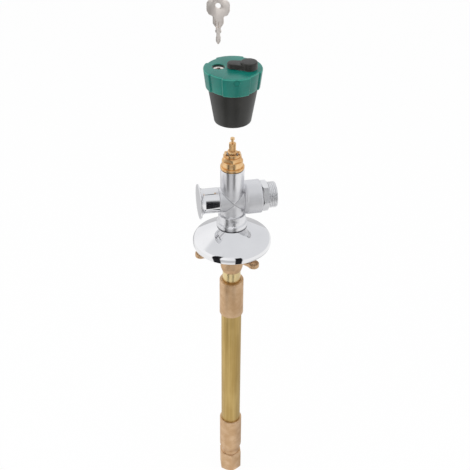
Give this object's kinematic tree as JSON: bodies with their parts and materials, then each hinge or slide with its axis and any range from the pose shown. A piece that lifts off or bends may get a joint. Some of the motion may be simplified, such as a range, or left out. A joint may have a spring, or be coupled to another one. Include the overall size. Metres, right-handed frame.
{
  "type": "frost free sillcock",
  "caption": "Frost free garden tap with a chrome cross body, pipe vent, hose thread, cover plate, long brass pipe to the inlet valve and a lift-off locking handle with key.",
  "frame": {"origin": "on the pipe's axis at the wall's face, the underside of the bracket's lugs", "axes": "+Z out of the wall along the pipe towards the handle, +X towards the hose outlet"},
  "size_m": [0.0845, 0.0804, 0.6021],
  "materials": {
    "polished_chrome": "polished chrome plate",
    "cast_chrome": "chrome plate on a sand blasted casting",
    "turned_chrome": "chrome plate on turned brass",
    "turned_brass": "bright turned brass",
    "drawn_brass": "drawn brass tube with faint lengthwise streaks",
    "gunmetal": "raw sand cast gunmetal",
    "steel": "spring steel",
    "nickel": "nickel plate",
    "rubber": "matte seal rubber",
    "black_plastic": "fine textured moulding",
    "green_plastic": "fine textured moulding",
    "white_plastic": "plain moulding"
  },
  "bodies": {
    "fixed": {"valve_body": "cast_chrome", "vent_cap": "polished_chrome", "vent_seat_ring": "rubber", "hose_connector": "turned_chrome", "connector_washer": "rubber", "check_valve_cage": "white_plastic", "check_valve_spring": "steel", "check_valve_o_ring": "rubber", "bonnet": "turned_brass", "bonnet_gasket": "rubber", "rod_guides": "white_plastic", "seat_fitting": "gunmetal", "extension_tube": "drawn_brass", "upper_coupling": "gunmetal", "neck_tube": "drawn_brass", "wall_bracket": "gunmetal"},
    "stem": {"spindle": "turned_brass", "spindle_circlip": "steel", "spindle_o_rings": "rubber", "operating_rod": "turned_brass", "rod_pin": "steel"},
    "plunger": {"valve_plunger": "turned_brass", "seat_washer": "rubber", "washer_screw": "turned_brass"},
    "cover_plate": {"rosette": "polished_chrome", "rosette_ring": "rubber"},
    "float": {"vent_float": "white_plastic"},
    "poppet": {"check_valve_poppet": "white_plastic"},
    "handle": {"handle_skirt": "black_plastic", "handle_cap": "green_plastic", "handle_hub": "turned_brass", "lock_barrel": "nickel"},
    "cover": {"keyhole_cover": "black_plastic", "cover_clip": "steel"},
    "lock": {"lock_plug": "nickel", "lock_cam": "steel"},
    "key": {"key": "nickel"}
  },
  "joints": [
    {"name": "stem_turn", "type": "hinge", "parent": "fixed", "child": "stem", "pos_m": [0, 0, 0.11999], "axis": [0, 0, 1], "range_deg": [0, 1080]},
    {"name": "plunger_lift", "type": "slide", "parent": "fixed", "child": "plunger", "axis": [0, 0, 1], "range_m": [0, 0.006]},
    {"name": "rosette_slide", "type": "slide", "parent": "fixed", "child": "cover_plate", "axis": [0, 0, 1], "range_m": [-0.0125, 0]},
    {"name": "float_lift", "type": "slide", "parent": "fixed", "child": "float", "axis": [-1, 0, 0], "range_m": [0, 0.003]},
    {"name": "poppet_open", "type": "slide", "parent": "fixed", "child": "poppet", "axis": [1, 0, 0], "range_m": [0, 0.004], "stiffness_N_per_m": 200, "springref_m": -0.003, "deforming": ["check_valve_spring"]},
    {"name": "handle_pull", "type": "slide", "parent": "stem", "child": "handle", "axis": [0, 0, 1], "range_m": [-0.0525, 0]},
    {"name": "cover_swing", "type": "hinge", "parent": "handle", "child": "cover", "pos_m": [0, 0, 0.20739], "axis": [0, 0, 1], "range_deg": [0, 180]},
    {"name": "lock_turn", "type": "hinge", "parent": "handle", "child": "lock", "pos_m": [-0.01263, 0.00447, 0.20359], "axis": [0, 0, 1], "range_deg": [0, 90]},
    {"name": "key_pull", "type": "slide", "parent": "lock", "child": "key", "axis": [0, 0, 1], "range_m": [-0.0395, 0]}
  ],
  "couplings": [
    {"joint": "plunger_lift", "follows": "stem_turn", "m_per_rad": 0.0003183}
  ]
}
